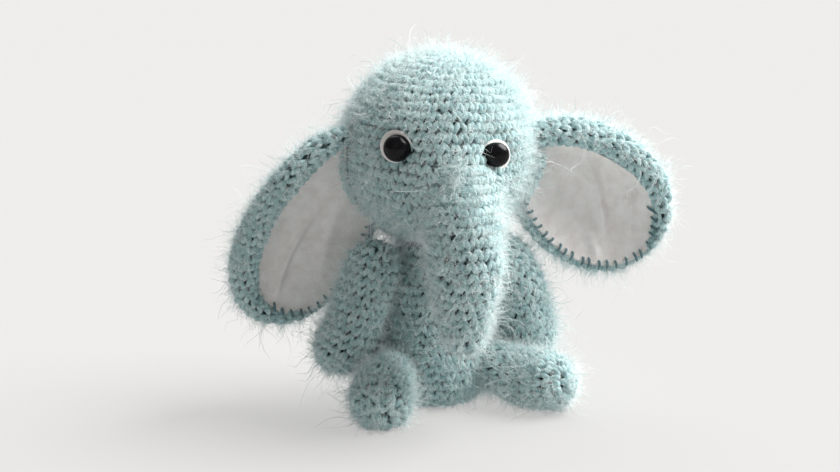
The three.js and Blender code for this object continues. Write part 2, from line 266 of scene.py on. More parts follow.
# The fabric's dark colours are painted shade: they stand for the shade in the gaps between stitches, not for
# a dark yarn.
def make_shade_fabric():
    material = plain_material("painted_shade_under_stitches", (0.06, 0.1, 0.11), 1.0)
    mottle(material, [(0.05, 0.085, 0.095), (0.11, 0.18, 0.19)], scale=700)
    roughen(material, scale=2500, distance=0.0004)
    return material


def make_felt():
    material = plain_material("wool_felt", (0.84, 0.81, 0.79), 1.0, Sheen_Weight=0.25, Sheen_Roughness=0.6)
    mottle(material, [(0.78, 0.74, 0.715), (0.86, 0.83, 0.81), (0.91, 0.895, 0.885)], scale=260, detail=8)
    roughen(material, scale=2600, distance=0.0004, strength=0.8, detail=10)
    return material


def make_bead():
    material = plain_material("black_bead", (0.003, 0.003, 0.004), 0.16, Specular_IOR_Level=0.14)
    mottle(material, [(0.003, 0.003, 0.004), (0.008, 0.007, 0.008)], scale=900)
    roughen(material, scale=900, distance=0.00003, strength=0.25, detail=2)
    return material


YARN = make_yarn()
SHADE_FABRIC = make_shade_fabric()
FELT = make_felt()
BEAD = make_bead()
SEWING = plain_material("sewing_yarn", (0.11, 0.2, 0.22), 0.9, Sheen_Weight=0.3)
mottle(SEWING, [(0.07, 0.14, 0.155), (0.15, 0.26, 0.28)], scale=900)
FIBRES = [
    plain_material(f"mohair_fibre_{i}", color, 0.75, Sheen_Weight=0.4)
    for i, color in enumerate(FIBRE_TONES)
]


# ---- Skins ----
LINE_STEPS = 80  # how finely a skin's centre line is kept
PROFILE_STEPS = 400
LINE_SMOOTHING = 3
PROFILE_SMOOTHING = 12
LUMP_SIZE = 15  # how wide the soft lumps of the stuffing are
TRACE_RAYS = 24
TRACE_REACH = 30  # how far from a tube's middle the rays start
TRACE_START = 4  # how far inside the tip the first section lies


class Skin:
    """A surface round a curved centre line. s runs along it in millimetres and the angle goes round it."""

    def __init__(self, line, profile, reference, mould=None, lump=0.35):
        """line holds the centre line's points, and profile holds [distance along it, radius] pairs."""
        line = np.asarray(line, float)
        steps = run_of(line)
        self.h = np.linspace(0, steps[-1], LINE_STEPS)
        self.centre = np.stack([np.interp(self.h, steps, line[:, i]) for i in range(3)], -1)
        smooth_table(self.centre, LINE_SMOOTHING)
        self.tangent = unit(np.gradient(self.centre, axis=0))
        reference = np.asarray(reference, float)
        self.u = unit(reference - (self.tangent @ reference)[:, None] * self.tangent)
        self.v = np.cross(self.tangent, self.u)
        profile = np.asarray(profile, float)
        run = run_of(profile)
        self.s = np.linspace(0, run[-1], PROFILE_STEPS)
        self.along = np.interp(self.s, run, profile[:, 0])
        self.radius = np.interp(self.s, run, profile[:, 1])
        smooth_table(self.along, PROFILE_SMOOTHING)
        smooth_table(self.radius, PROFILE_SMOOTHING)
        self.slope = unit(np.stack([np.gradient(self.along, self.s), np.gradient(self.radius, self.s)], -1))
        self.length = self.s[-1]
        self.mould = mould
        self.lump = lump

    def girth(self, s):
        """The way round the skin at s."""
        return 2 * math.pi * np.interp(s, self.s, self.radius)

    def at(self, s, angle, lift=0.0):
        """Points on the skin, raised by lift, and the skin's normals there."""
        s, angle = np.broadcast_arrays(s, angle)
        h = np.interp(s, self.s, self.along)
        radius = np.interp(s, self.s, self.radius)
        dh, dr = (np.interp(s, self.s, self.slope[:, i])[..., None] for i in (0, 1))
        inside = np.clip(h, 0, self.h[-1])
        centre, tangent, u, v = (
            np.stack([np.interp(inside, self.h, table[:, i]) for i in range(3)], -1)
            for table in (self.centre, self.tangent, self.u, self.v)
        )
        centre = centre + (h - inside)[..., None] * tangent
        outward = unit(u * np.cos(angle)[..., None] + v * np.sin(angle)[..., None])
        normal = unit(outward * dh - tangent * dr)
        point = centre + outward * radius[..., None]
        lift = lift + self.lump * lumps(point, LUMP_SIZE, 3)
        if self.mould:
            point, normal = self.mould(point, normal)
        return point + normal * np.asarray(lift)[..., None], normal


def round_profile(radii, length, start_cap=True, end_cap=True, steps=7):
    """[distance, radius] pairs of a tube with radii at even distances along length, with round ends."""
    turn = np.linspace(0, math.pi / 2, steps)
    pairs = []
    if start_cap:
        pairs += [(-radii[0] * math.cos(a), radii[0] * math.sin(a)) for a in turn[:-1]]
    pairs += list(zip(np.linspace(0, length, len(radii)), radii))
    if end_cap:
        pairs += [(length + radii[-1] * math.sin(a), radii[-1] * math.cos(a)) for a in turn[1:]]
    return pairs


def trace(node, tip, towards, step=2.5, most=40):
    """Follows a CAD tube from its tip. Returns the centres and radii of its sections, from tip to root."""
    tree = node_tree(node)
    direction = unit(np.asarray(towards, float))
    place = np.asarray(tip, float) + TRACE_START * direction
    centres, radii = [], []
    for _ in range(most):
        u = unit(np.cross(direction, [0.3, 0.9, 0.2]))
        v = np.cross(direction, u)
        hits = []
        for angle in np.linspace(0, 2 * math.pi, TRACE_RAYS, endpoint=False):
            ray = u * math.cos(angle) + v * math.sin(angle)
            hit = tree.ray_cast(Vector(place + TRACE_REACH * ray), Vector(-ray), TRACE_REACH)[0]
            if hit is not None:
                hits.append(np.array(hit))
        if len(hits) < TRACE_RAYS:
            break
        hits = np.array(hits)
        centre = hits.mean(0)
        if centres:
            direction = unit(0.5 * direction + 0.5 * unit(centre - centres[-1]))
        centres.append(centre)
        radii.append(np.linalg.norm(hits - centre, axis=1).mean())
        place = centre + step * direction
    return np.array(centres), np.array(radii)


def smooth_join(a, b, width):
    """Smooth least of two distances."""
    h = np.clip(0.5 + 0.5 * (b - a) / width, 0, 1)
    return b * (1 - h) + a * h - width * h * (1 - h)


# ---- Stitches, fabric and fibres on a skin ----
ROW_TWIST = 0.23  # how far each row is turned from the last, in stitches
STITCH_LEAN = 0.03  # how far a stitch leans aside
STITCH_UNEVEN = 0.05
YARN_UNEVEN = 0.07
FABRIC_GROUND = 0.1  # how much higher than the yarn the fabric stops
FIBRE_TAPER = np.array([1.0, 1.0, 0.9, 0.65, 0.15])
STITCH_LEG = np.array([  # across, up the row, lift, share of the yarn's radius
    (0.06, -0.04, -0.85, 0.75),
    (-0.09, 0.18, 0.10, 1.0),
    (-0.23, 0.46, 0.52, 1.12),
    (-0.35, 0.76, 0.28, 1.02),
    (-0.43, 1.02, -0.70, 0.75),
])


def stitches(skin, first, last, keep=None, seed=1):
    """Rows of V stitches from s = first to s = last. Returns strand points, radii and normals."""
    own = np.random.default_rng(seed)
    rows = max(1, round((last - first) / ROW_PITCH))
    pitch = (last - first) / rows
    found = []
    for row in range(rows):
        foot = first + row * pitch
        around = max(5, round(float(skin.girth(foot + pitch / 2)) / STITCH_WIDTH))
        k = np.arange(around)
        middle = (k + 0.5 * (row % 2) + ROW_TWIST * row) * 2 * math.pi / around
        jitter = own.normal(0, STITCH_UNEVEN, (3, around))
        size = own.normal(1, YARN_UNEVEN, around)
        for mirrored in (1, -1):
            leg = STITCH_LEG
            across = (mirrored * leg[:, 0] + STITCH_LEAN)[None] + jitter[0][:, None]
            spiral = 0.5 * (k / around)[:, None]
            s = foot + (leg[:, 1][None] + jitter[1][:, None] + spiral) * pitch
            angle = middle[:, None] + across * 2 * math.pi / around
            lift = leg[:, 2][None] + 2 * jitter[2][:, None]
            point, normal = skin.at(np.clip(s, 0, skin.length), angle, lift)
            radius = YARN_RADIUS * leg[:, 3][None] * size[:, None]
            found.append((point, radius, normal))
    point, radius, normal = (np.concatenate([f[i] for f in found]) for i in range(3))
    if keep is not None:
        kept = keep(point[:, 2])
        point, radius, normal = point[kept], radius[kept], normal[kept]
    return point, radius, normal


def add_yarn(name, strands, material=YARN):
    """One object of round strands."""
    point, radius, normal = strands
    vertices, quads, caps = tubes(point, radius, normal, STRAND_SIDES)
    vertices[:, 2] = np.maximum(vertices[:, 2], GROUND)
    return make_object(name, vertices, quads, [caps], [material])


def add_fabric(name, skin, first, last, rows=40, around=64, depth=FABRIC_DEPTH):
    """The closed cloth body under the stitches, coloured dark as painted shade for the gaps between them."""
    s = np.linspace(first, last, rows)
    angle = np.linspace(0, 2 * math.pi, around, endpoint=False)
    grid, _ = skin.at(s[:, None], angle[None], -depth)
    grid[..., 2] = np.maximum(grid[..., 2], GROUND + FABRIC_GROUND)
    return loft(name, grid, [SHADE_FABRIC])


CLUMP_SIZE = 5.5  # fibres closer together than this lie over the same way
CLUMP_PULL = 0.9
SHORT_FIBRES = 2.2  # the higher it is, the more fibres are near their shortest
FIBRE_WEIGHT = 0.012  # how much the square of a fibre's length makes it droop
BEHIND_EYE = -3  # fibres that lie further behind an eye than this may cross its line of sight
STRAND_START = 0.8  # fibres leave out this much of each end of a strand, in steps of it
ROOT_ASIDE = 0.8  # how far off the middle of its yarn a fibre may start, as a share of the yarn's radius
ROOT_LIFT = 0.35
LEAN_RANGE = (0.3, 1.3)
CURL_TURNS = (0.5, 1.5)
CURL_SWING = (0.04, 0.16)  # how wide the curls are, as a share of the fibre's length
THICKNESS_RANGE = (0.7, 1.3)


def fibres(strands, per_strand, lengths, lean, own, thick):
    """Curly fibres that stand out of yarn. lean is how far they lie over, from 0 upright to about 2."""
    line, strand_radius, strand_normal = strands
    count = int(per_strand * len(line))
    which = own.integers(0, len(line), count)
    step = own.uniform(STRAND_START, line.shape[1] - 1 - STRAND_START, count)
    low = step.astype(int)
    part = (step - low)[:, None]
    normal = unit(strand_normal[which, low] * (1 - part) + strand_normal[which, low + 1] * part)
    root = line[which, low] * (1 - part) + line[which, low + 1] * part
    along = unit(line[which, low + 1] - line[which, low])
    aside = np.cross(along, normal)
    off_middle = own.uniform(-ROOT_ASIDE, ROOT_ASIDE, (count, 1)) * aside + ROOT_LIFT * normal
    root = root + off_middle * strand_radius[which, low][:, None]
    clump = lumps(root, CLUMP_SIZE, 41)[:, None] * along + lumps(root, CLUMP_SIZE, 43)[:, None] * aside
    sideways = own.normal(size=(count, 3))
    sideways = unit(sideways - (sideways * normal).sum(-1, keepdims=True) * normal) + CLUMP_PULL * clump
    direction = unit(normal + lean * own.uniform(*LEAN_RANGE, (count, 1)) * unit(sideways))
    cross = unit(np.cross(direction, own.normal(size=(count, 3))))
    bend = unit(np.cross(direction, cross))
    length = lengths[0] + (lengths[1] - lengths[0]) * own.random(count) ** SHORT_FIBRES
    steps = len(FIBRE_TAPER)
    t = np.linspace(0, 1, steps)
    phase = own.uniform(0, 2 * math.pi, count)
    turns = own.uniform(*CURL_TURNS, count)
    swing = own.uniform(*CURL_SWING, count) * length
    curl = phase[:, None] + 2 * math.pi * turns[:, None] * t
    wave = np.sin(curl) - np.sin(phase)[:, None]
    other = np.cos(curl) - np.cos(phase)[:, None]
    droop = -FIBRE_WEIGHT * (length[:, None] * t) ** 2
    point = (
        root[:, None] + (length[:, None] * t)[..., None] * direction[:, None]
        + (swing[:, None] * wave)[..., None] * cross[:, None]
        + (swing[:, None] * other)[..., None] * bend[:, None]
        + droop[..., None] * np.array([0, 0, 1.0])
    )
    radius = thick * FIBRE_RADIUS * FIBRE_TAPER[None] * own.uniform(*THICKNESS_RANGE, (count, 1))
    clear = np.ones(count, bool)
    for eye, look in zip(EYES, EYE_LOOKS):
        ahead = (point - eye) @ look
        beside = np.linalg.norm(point - eye - ahead[..., None] * look, axis=-1)
        clear &= ~((beside < EYE_CLEARANCE) & (ahead > BEHIND_EYE)).any(1)
    clear &= (point > BOX_LOW - HALO_REACH).all((1, 2)) & (point < BOX_HIGH + HALO_REACH).all((1, 2))
    return [a[clear] for a in (point, radius, np.repeat(cross[:, None], steps, 1))]


NAP = [  # fibres on each strand, their lengths, how far they lie over, and how thick they are
    (10.5, (1.5, 4.2), 1.6, 1.0),
    (3.8, (3.0, 8.0), 1.1, 0.85),
    (0.22, (8.0, 15.0), 1.0, 1.35),
]
FIBRE_SIDES = 3
FIBRES_PER_OBJECT = 7600
FIBRE_SHARES = (0.1, 0.26, 0.3, 0.22, 0.12)  # how much of each shade of fibre, from the darkest
PAINTED_SHADE_SHARES = (0.42, 0.32, 0.16, 0.07, 0.03)  # how much of each shade of fibre on the torso, darker as painted shade where the torso lies in shadow


def add_fibres(name, strands, own, shares):
    """Objects of fibres in several shades, each small enough to be exported whole."""
    point, radius, up = strands
    made = []
    for i, first in enumerate(range(0, len(point), FIBRES_PER_OBJECT)):
        part = slice(first, first + FIBRES_PER_OBJECT)
        count = len(point[part])
        vertices, quads, caps = tubes(point[part], radius[part], up[part], FIBRE_SIDES)
        vertices[:, 2] = np.maximum(vertices[:, 2], GROUND)
        tone = own.choice(len(FIBRES), count, p=shares)
        per = len(quads) // count
        shade = np.concatenate([np.repeat(tone, per), np.tile(tone, 2)])
        made.append(make_object(f"{name}_{i + 1}", vertices, quads, [caps], FIBRES, shade))
    return made


def fuzz(name, strands, own, density, shares=FIBRE_SHARES):
    """The mohair halo of some strands: a short dense nap, longer curls and a few stray hairs."""
    density = density * 1.0
    groups = [fibres(strands, per * density, span, lean, own, thick) for per, span, lean, thick in NAP]
    order = own.permutation(sum(len(g[0]) for g in groups))
    mixed = [np.concatenate([g[i] for g in groups])[order] for i in range(3)]
    return add_fibres(name, mixed, own, shares)


# ---- The toy's parts, measured from the frame ----
head_points = node_points("head_shell")
HEAD_CENTRE = (head_points.max(0) + head_points.min(0)) / 2
HEAD_UP = joint_axis("left_ear_flap")
HEAD_FRONT = unit(np.cross(joint_axis("trunk_lift"), HEAD_UP))
if HEAD_FRONT[1] > 0:
    HEAD_FRONT = -HEAD_FRONT
HEAD_LEFT = -np.cross(HEAD_FRONT, HEAD_UP)
HEAD_RADIUS = float(np.linalg.norm((head_points - HEAD_CENTRE)[:, :2], axis=1).max())
HEAD_CENTRE[2] = head_points[:, 2].max() - HEAD_RADIUS

TRUNK_ENTRY = 0.55  # how far in front of the head's middle the trunk's line starts, as a share of its radius
TRUNK_ENTRY_RAISE = 1.5
ROOT_SHARE = 0.8  # the size of the trunk there
ROOT_THINNING = 3.0  # how much slimmer the trunk is inside the face, where the fillet fills it up
ROOT_SECTIONS = 6  # how many sections the thinning runs out over
trunk_points = node_points("trunk_shell")
tip = trunk_points[trunk_points[:, 2].argmin()]
trunk_centres, trunk_radii = trace("trunk_shell", tip, (0, -0.05, 1))
trunk_entry = HEAD_CENTRE + TRUNK_ENTRY * HEAD_RADIUS * HEAD_FRONT + TRUNK_ENTRY_RAISE * HEAD_UP
trunk_line = np.concatenate([trunk_centres, [trunk_entry]])[::-1]
trunk_size = np.concatenate([trunk_radii, [trunk_radii[-1] * ROOT_SHARE]])[::-1]
trunk_size = trunk_size - ROOT_THINNING * np.clip(1 - np.arange(len(trunk_size)) / ROOT_SECTIONS, 0, 1)


def trunk_distance(points, balls=60):
    """How far points are outside the trunk, taken as a chain of balls."""
    flat = points.reshape(-1, 3)
    fine = np.linspace(0, 1, balls)
    at = np.linspace(0, 1, len(trunk_line))
    line = np.stack([np.interp(fine, at, trunk_line[:, i]) for i in range(3)], -1)
    size = np.interp(fine, at, trunk_size)
    best = np.full(len(flat), math.inf)
    for centre, radius in zip(line, size):
        best = np.minimum(best, np.linalg.norm(flat - centre, axis=1) - radius)
    return best.reshape(points.shape[:-1])


def head_distance(points):
    """How far points are outside the head's ball."""
    return np.linalg.norm(points - HEAD_CENTRE, axis=-1) - HEAD_RADIUS


EYES = [node_points(f"{side}_eye_felt").mean(0) for side in SIDES]
EYE_LOOKS = [unit(eye - node_points(f"{side}_eye_washer").mean(0)) for eye, side in zip(EYES, SIDES)]
EYE_DIMPLE = 1.9  # how deep an eye is pulled into the face
EYE_PRESS_RADIUS = 6.4
EYE_CLEARANCE = 5.1  # no fibre comes closer to the line of sight of an eye
FILLET = 17.0  # how widely the face runs into the trunk
TRUNK_LEVEL = 9.0  # how far under the middle of the head the trunk starts to hang straight
MOULD_ROUNDS = 6
MOULD_SHARE = 0.7  # how much of a normal on the face comes from the joined shape
SLOPE_STEP = 0.4
HEAD_GIVE = 5.0  # how far the mould may move a point of the head
TRUNK_GIVE = 13.0


def face_distance(points):
    """How far points are outside the face, which is the head and the trunk run together."""
    return smooth_join(head_distance(points), trunk_distance(points), FILLET)


def face_mould(point, normal, most):
    """Moves points of the head or the trunk onto the one smooth face, by at most a given way."""
    moved = 0.0
    for _ in range(MOULD_ROUNDS):
        gap = face_distance(point)
        change = np.clip(moved - gap, -most, most) - moved
        point = point + change[..., None] * normal
        moved = moved + change
    steps = np.eye(3) * SLOPE_STEP
    slope = np.stack([face_distance(point + d) - face_distance(point - d) for d in steps], -1)
    normal = unit((1 - MOULD_SHARE) * normal + MOULD_SHARE * unit(slope))
    for eye in EYES:
        press = EYE_DIMPLE * np.exp(-((np.linalg.norm(point - eye, axis=-1) / EYE_PRESS_RADIUS) ** 4))
        point = point - press[..., None] * normal
    return point, normal


def head_mould(point, normal):
    return face_mould(point, normal, HEAD_GIVE)


def trunk_mould(point, normal):
    return face_mould(point, normal, TRUNK_GIVE)


# Head: a ball with its rows round its own upright axis, a little narrower on top
HEAD_BOTTOM = -1.27  # the angle under the ball's middle at which its rows start, in radians
HEAD_NARROWING = 0.05
head_profile = []
for t in np.sin(np.linspace(HEAD_BOTTOM, math.pi / 2, 60)):
    narrowed = 1 - HEAD_NARROWING * max(t, 0) ** 2
    head_profile.append((HEAD_RADIUS * (1 + t), HEAD_RADIUS * math.sqrt(max(0, 1 - t * t)) * narrowed))
head_line = [HEAD_CENTRE - HEAD_RADIUS * HEAD_UP, HEAD_CENTRE + HEAD_RADIUS * HEAD_UP]
HEAD = Skin(head_line, head_profile, -HEAD_FRONT, head_mould, lump=0.45)

# Trunk: its rows start inside the head, on a line that carries on from where the trunk hangs straight
ROOT_REACH = np.array([8.0, 16.0, 24.0])[:, None]
ROOT_FLATTENING = np.array([1, 0.6, 1])
FACE_SLACK = 1.8  # how far off the joined face a stitch of the trunk may lie and still be shown

hanging = [i for i in range(len(trunk_centres)) if trunk_centres[i][2] < HEAD_CENTRE[2] - TRUNK_LEVEL]
row_line = trunk_centres[hanging]
row_size = trunk_radii[hanging]
root_way = unit(unit(row_line[-1] - row_line[-4]) * ROOT_FLATTENING)
row_line = np.concatenate([row_line, row_line[-1] + ROOT_REACH * root_way])[::-1]
row_size = np.concatenate([row_size, np.full(len(ROOT_REACH), row_size[-1])])[::-1]
trunk_length = float(run_of(row_line)[-1])
trunk_cut = trunk_length + np.linalg.norm(tip - row_line[-1]) - row_size[-1]
kept_size = np.interp(np.linspace(0, trunk_cut, 30), np.linspace(0, trunk_length, len(row_size)), row_size)
row_profile = round_profile(kept_size, trunk_cut, start_cap=False)
TRUNK = Skin(row_line, row_profile, HEAD_FRONT, trunk_mould, lump=0.25)


def on_head(points):
    """True where the face's surface belongs to the head rather than to the trunk."""
    return head_distance(points) <= trunk_distance(points)


def on_trunk(points):
    """True where it belongs to the trunk and has not sunk into the head."""
    return ~on_head(points) & (np.abs(face_distance(points)) < FACE_SLACK)


# ---- Torso, arms and legs ----
OUTSIDE = 40  # a place well outside the torso
SEAT_LEVEL = 0.4  # the lowest level at which the torso is measured
SEAT_ROUNDING = 0.5
torso_points = node_points("torso_shell")
torso_top = torso_points[:, 2].max()
torso_tree = node_tree("torso_shell")


def torso_radius(z):
    """How wide the torso is at a level."""
    hit = torso_tree.ray_cast(Vector((OUTSIDE, 0.01, z)), Vector((-1, 0, 0)))[0]
    return hit.x


levels = np.linspace(SEAT_LEVEL, torso_top - 0.3, 24)
torso_profile = [(0.0, SEAT_ROUNDING), (0.0, torso_radius(SEAT_LEVEL) - SEAT_ROUNDING)]
torso_profile += [(z, torso_radius(z)) for z in levels]
TORSO = Skin([(0, 0, 0), (0, 0, torso_top)], torso_profile, (0, 1, 0), lump=0.4)


def limb(node, joint):
    """A limb's skin, from where it is sewn on to its round end."""
    root = joint_at(joint)
    points = node_points(node)
    end = points[np.linalg.norm(points - root, axis=1).argmax()]
    centres, radii = trace(node, end, root - end)
    line, sizes = centres[::-1], radii[::-1]
    if np.linalg.norm(line[0] - root) > 1:
        line = np.concatenate([[root], line])
        sizes = np.concatenate([sizes[:1], sizes])
    at = run_of(line)
    length = at[-1] + np.linalg.norm(end - line[-1]) - sizes[-1]
    even = np.interp(np.linspace(0, length, 16), at, sizes)
    return Skin(line, round_profile(even, length), (0, 1, 0), lump=0.3)


LIMBS = {}
for side in SIDES:
    LIMBS[f"{side}_arm"] = limb(f"{side}_arm_shell", f"{side}_arm_lift")
    LIMBS[f"{side}_leg"] = limb(f"{side}_leg_shell", f"{side}_leg_lift")


def finish_piece(obj, body, replaces=(), blend=None):
    if blend:
        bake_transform(obj)
    else:
        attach(obj, body)
    if replaces:
        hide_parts(*replaces)
    return obj


def crochet(name, body, skin, first, last, nodes, seed, blend=None, keep=None, parts=1, shares=FIBRE_SHARES):
    """Everything that one crocheted part shows: fabric, stitches and halo.

    keep says which points of the stitches show, and parts is how many objects the stitches are cut into.
    """
    own = np.random.default_rng(seed)
    fabric = add_fabric(f"{name}_fabric", skin, first, last)
    finish_piece(fabric, body, replaces=nodes, blend=blend)
    strands = stitches(skin, first, last, keep, seed)
    cut = np.array_split(np.arange(len(strands[0])), parts)
    for i, part in enumerate(cut):
        label = f"{name}_stitches_{i + 1}" if parts > 1 else f"{name}_stitches"
        finish_piece(add_yarn(label, [a[part] for a in strands]), body, blend=blend)
    for obj in fuzz(f"{name}_halo", strands, own, 1.0, shares):
        finish_piece(obj, body, blend=blend)


# Points under the head's middle where a bend of the trunk would start and where it would be all trunk;
# nothing here bends it, and the trunk's pieces that get them are only left unattached to a body
BEND_START = HEAD_CENTRE - 12 * HEAD_UP
BEND_END = HEAD_CENTRE - 34 * HEAD_UP
TRUNK_BLEND = ("head", "trunk", tuple(BEND_START * MM), tuple(BEND_END * MM))
LIMB_SEED = 20

torso_nodes = ("torso_shell", "torso_stuffing", "neck_seam_yarn")
head_nodes = ("head_shell", "head_stuffing")
trunk_nodes = ("trunk_shell", "trunk_stuffing")
# The torso's fibres are darker as painted shade, for the shadow that falls on the torso.
crochet("torso", "torso", TORSO, 0.6, TORSO.length - 0.5, torso_nodes, 11, shares=PAINTED_SHADE_SHARES)
crochet("head", "head", HEAD, 0.3, HEAD.length - 1.2, head_nodes, 12, keep=on_head, parts=3)
crochet("trunk", "trunk", TRUNK, 3.0, TRUNK.length - 0.8, trunk_nodes, 13, TRUNK_BLEND, on_trunk)
for i, (name, skin) in enumerate(LIMBS.items()):
    limb_nodes = (f"{name}_shell", f"{name}_stuffing")
    crochet(name, name, skin, 1.0, skin.length - 0.8, limb_nodes, LIMB_SEED + i)


# ---- Eyes ----
BEADS = {  # radius, height of the dome, turn outwards, and how far in front of the felt it lies
    "left": (3.5, 2.7, 0.26, 1.5),
    "right": (3.85, 3.4, 0.04, 0.7),
}
BEAD_FOOT = [(0.9, -2.2), (0.97, -1.0), (1.0, -0.3)]  # radius as a share of the bead's, height
DOME_START = 0.2
DOME_TURN = 1.55  # the dome ends just short of its pole
EYE_FELT_EDGE = [(4.1, -1.4), (4.55, -1.0), (4.65, -0.2), (4.55, 0.35), (4.25, 0.6)]
EYE_FELT_TOP = [(3.2, 0.62), (2.4, 0.62), (1.6, 0.62), (0.8, 0.62)]
EYE_FELT_SHIFT = (0.95, 0.45)  # outwards and up, so that more of the white shows there


def lathe(label, rings, centre, axes, material):
    """A round body from [radius, height] pairs. axes are two across it and the one that it turns about."""
    across, above, along = axes
    angle = np.linspace(0, 2 * math.pi, 56, endpoint=False)
    wheel = np.cos(angle)[:, None] * across + np.sin(angle)[:, None] * above
    return loft(label, np.stack([centre + r * wheel + z * along for r, z in rings]), [material])


for side, eye, look in zip(SIDES, EYES, EYE_LOOKS):
    outward = unit(np.cross(look, HEAD_UP))
    if (outward @ HEAD_LEFT) * (1 if side == "left" else -1) < 0:
        outward = -outward
    above = unit(np.cross(outward, look))
    radius, dome_height, turned, proud = BEADS[side]
    axes = (outward, above, unit(look + turned * outward))

    dome = [(radius * share, height) for share, height in BEAD_FOOT]
    turns = np.linspace(0, DOME_TURN, 18)
    dome += [(radius * math.cos(a), DOME_START + dome_height * math.sin(a)) for a in turns]
    bead = lathe(f"{side}_eye", dome, eye + proud * look, axes, BEAD)
    finish_piece(bead, "head", (f"{side}_eye_bead",))

    shifted = eye + EYE_FELT_SHIFT[0] * outward + EYE_FELT_SHIFT[1] * above
    white = lathe(f"{side}_eye_white", EYE_FELT_EDGE + EYE_FELT_TOP, shifted, axes, FELT)
    finish_piece(white, "head", (f"{side}_eye_felt",))

WASHER = plain_material("washer_plastic", (0.8, 0.8, 0.79), 0.4)
mottle(WASHER, [(0.75, 0.75, 0.74), (0.84, 0.84, 0.83)], scale=300)
for side in SIDES:
    frame["nodes"][f"{side}_eye_washer"].material_slots[0].material = WASHER

# ---- Ears ----
EAR_ROOT = 7.0  # how far behind its joint an ear's outline starts
EAR_ROOM = 1.2  # how far outside the head's ball an ear is kept
EAR_EGG = 0.12  # how much wider it is towards its far end
EAR_THICKNESS = 2.4
EAR_LUMP = 0.3
EAR_OPENING = 0.32  # the angle at the root, each way, that has no rolled edge
EAR_FUZZ = 1.15
EAR_CORE_REACH = 0.93  # how far out the fabric between front and back goes, as a share of the ear
EAR_CORE_INSET = (0.3, 0.5)  # how far under the ear's front and back it lies
BOWL_SCALE = (30, 20)
ROLL_DEPTH = 0.8
OPEN_SIDE = 0.35  # strands of the roll that face the felt more than this have no fuzz
FELT_THICKNESS = 0.9
FELT_SUNK = 0.35  # how far the felt lies in the ear's fabric
FELT_PUFF = 0.5
FELT_BESIDE = (1.9, 0.8)  # how far inside it ends beside the roll: share of the roll's radius, and more
FELT_CHANGE = (0.15, 1.3)  # how much thicker than thinnest the roll is where the one turns into the other
FELT_MARGIN = 0.6  # how far inside the ear's outline the felt ends where it lies over the thin edge
ROLL_RADIUS = 0.7  # radius of the rolled edge at the bottom of an ear
ROLL_MORE = 2.6  # what its top edge has more
ROLL_BALANCE = (0.45, 0.65)  # how thick it is half way down, as a share, and how fast that changes
ROLL_SHIFT = {"left": 0.4, "right": -0.1}  # how far back towards the root the thick part lies
CREASES = {  # place along and across as shares of the ear, direction, width, height and half length
    "left": [
        (0.56, 0.0, -0.70, 1.6, 1.8, 11),
        (0.67, -0.28, -0.54, 1.3, 1.2, 6),
        (0.77, 0.08, -0.95, 1.3, 1.0, 7),
    ],
    "right": [
        (0.66, 0.02, 0.0, 1.5, 1.7, 14),
        (0.5, -0.22, -0.2, 2.0, 0.8, 12),
    ],
}
CREASE_CURVE = 0.008
LIP = 0.7  # how high the felt's edge stands up against the thick part of the roll, as a share of its radius
EDGE_RISE = 1.1  # how far the felt's edge rises where it lies over the thin edge
WHIP_SPACING = 3.1
WHIP_OPENING = 0.35
WHIP_LIFT = 0.7
WHIP_THIN_ROLL = 2.0  # stitches show where the rolled edge is thinner than this
WHIP_SHAPE = np.array([  # inwards over the felt, along its edge, lift
    (1.6, -0.4, -0.2),
    (1.2, -0.3, 0.55),
    (0.4, -0.1, 0.85),
    (-0.4, 0.2, 0.95),
    (-1.0, 0.4, 0.3),
])
WHIP_RADII = np.array([0.3, 0.4, 0.42, 0.4, 0.3])


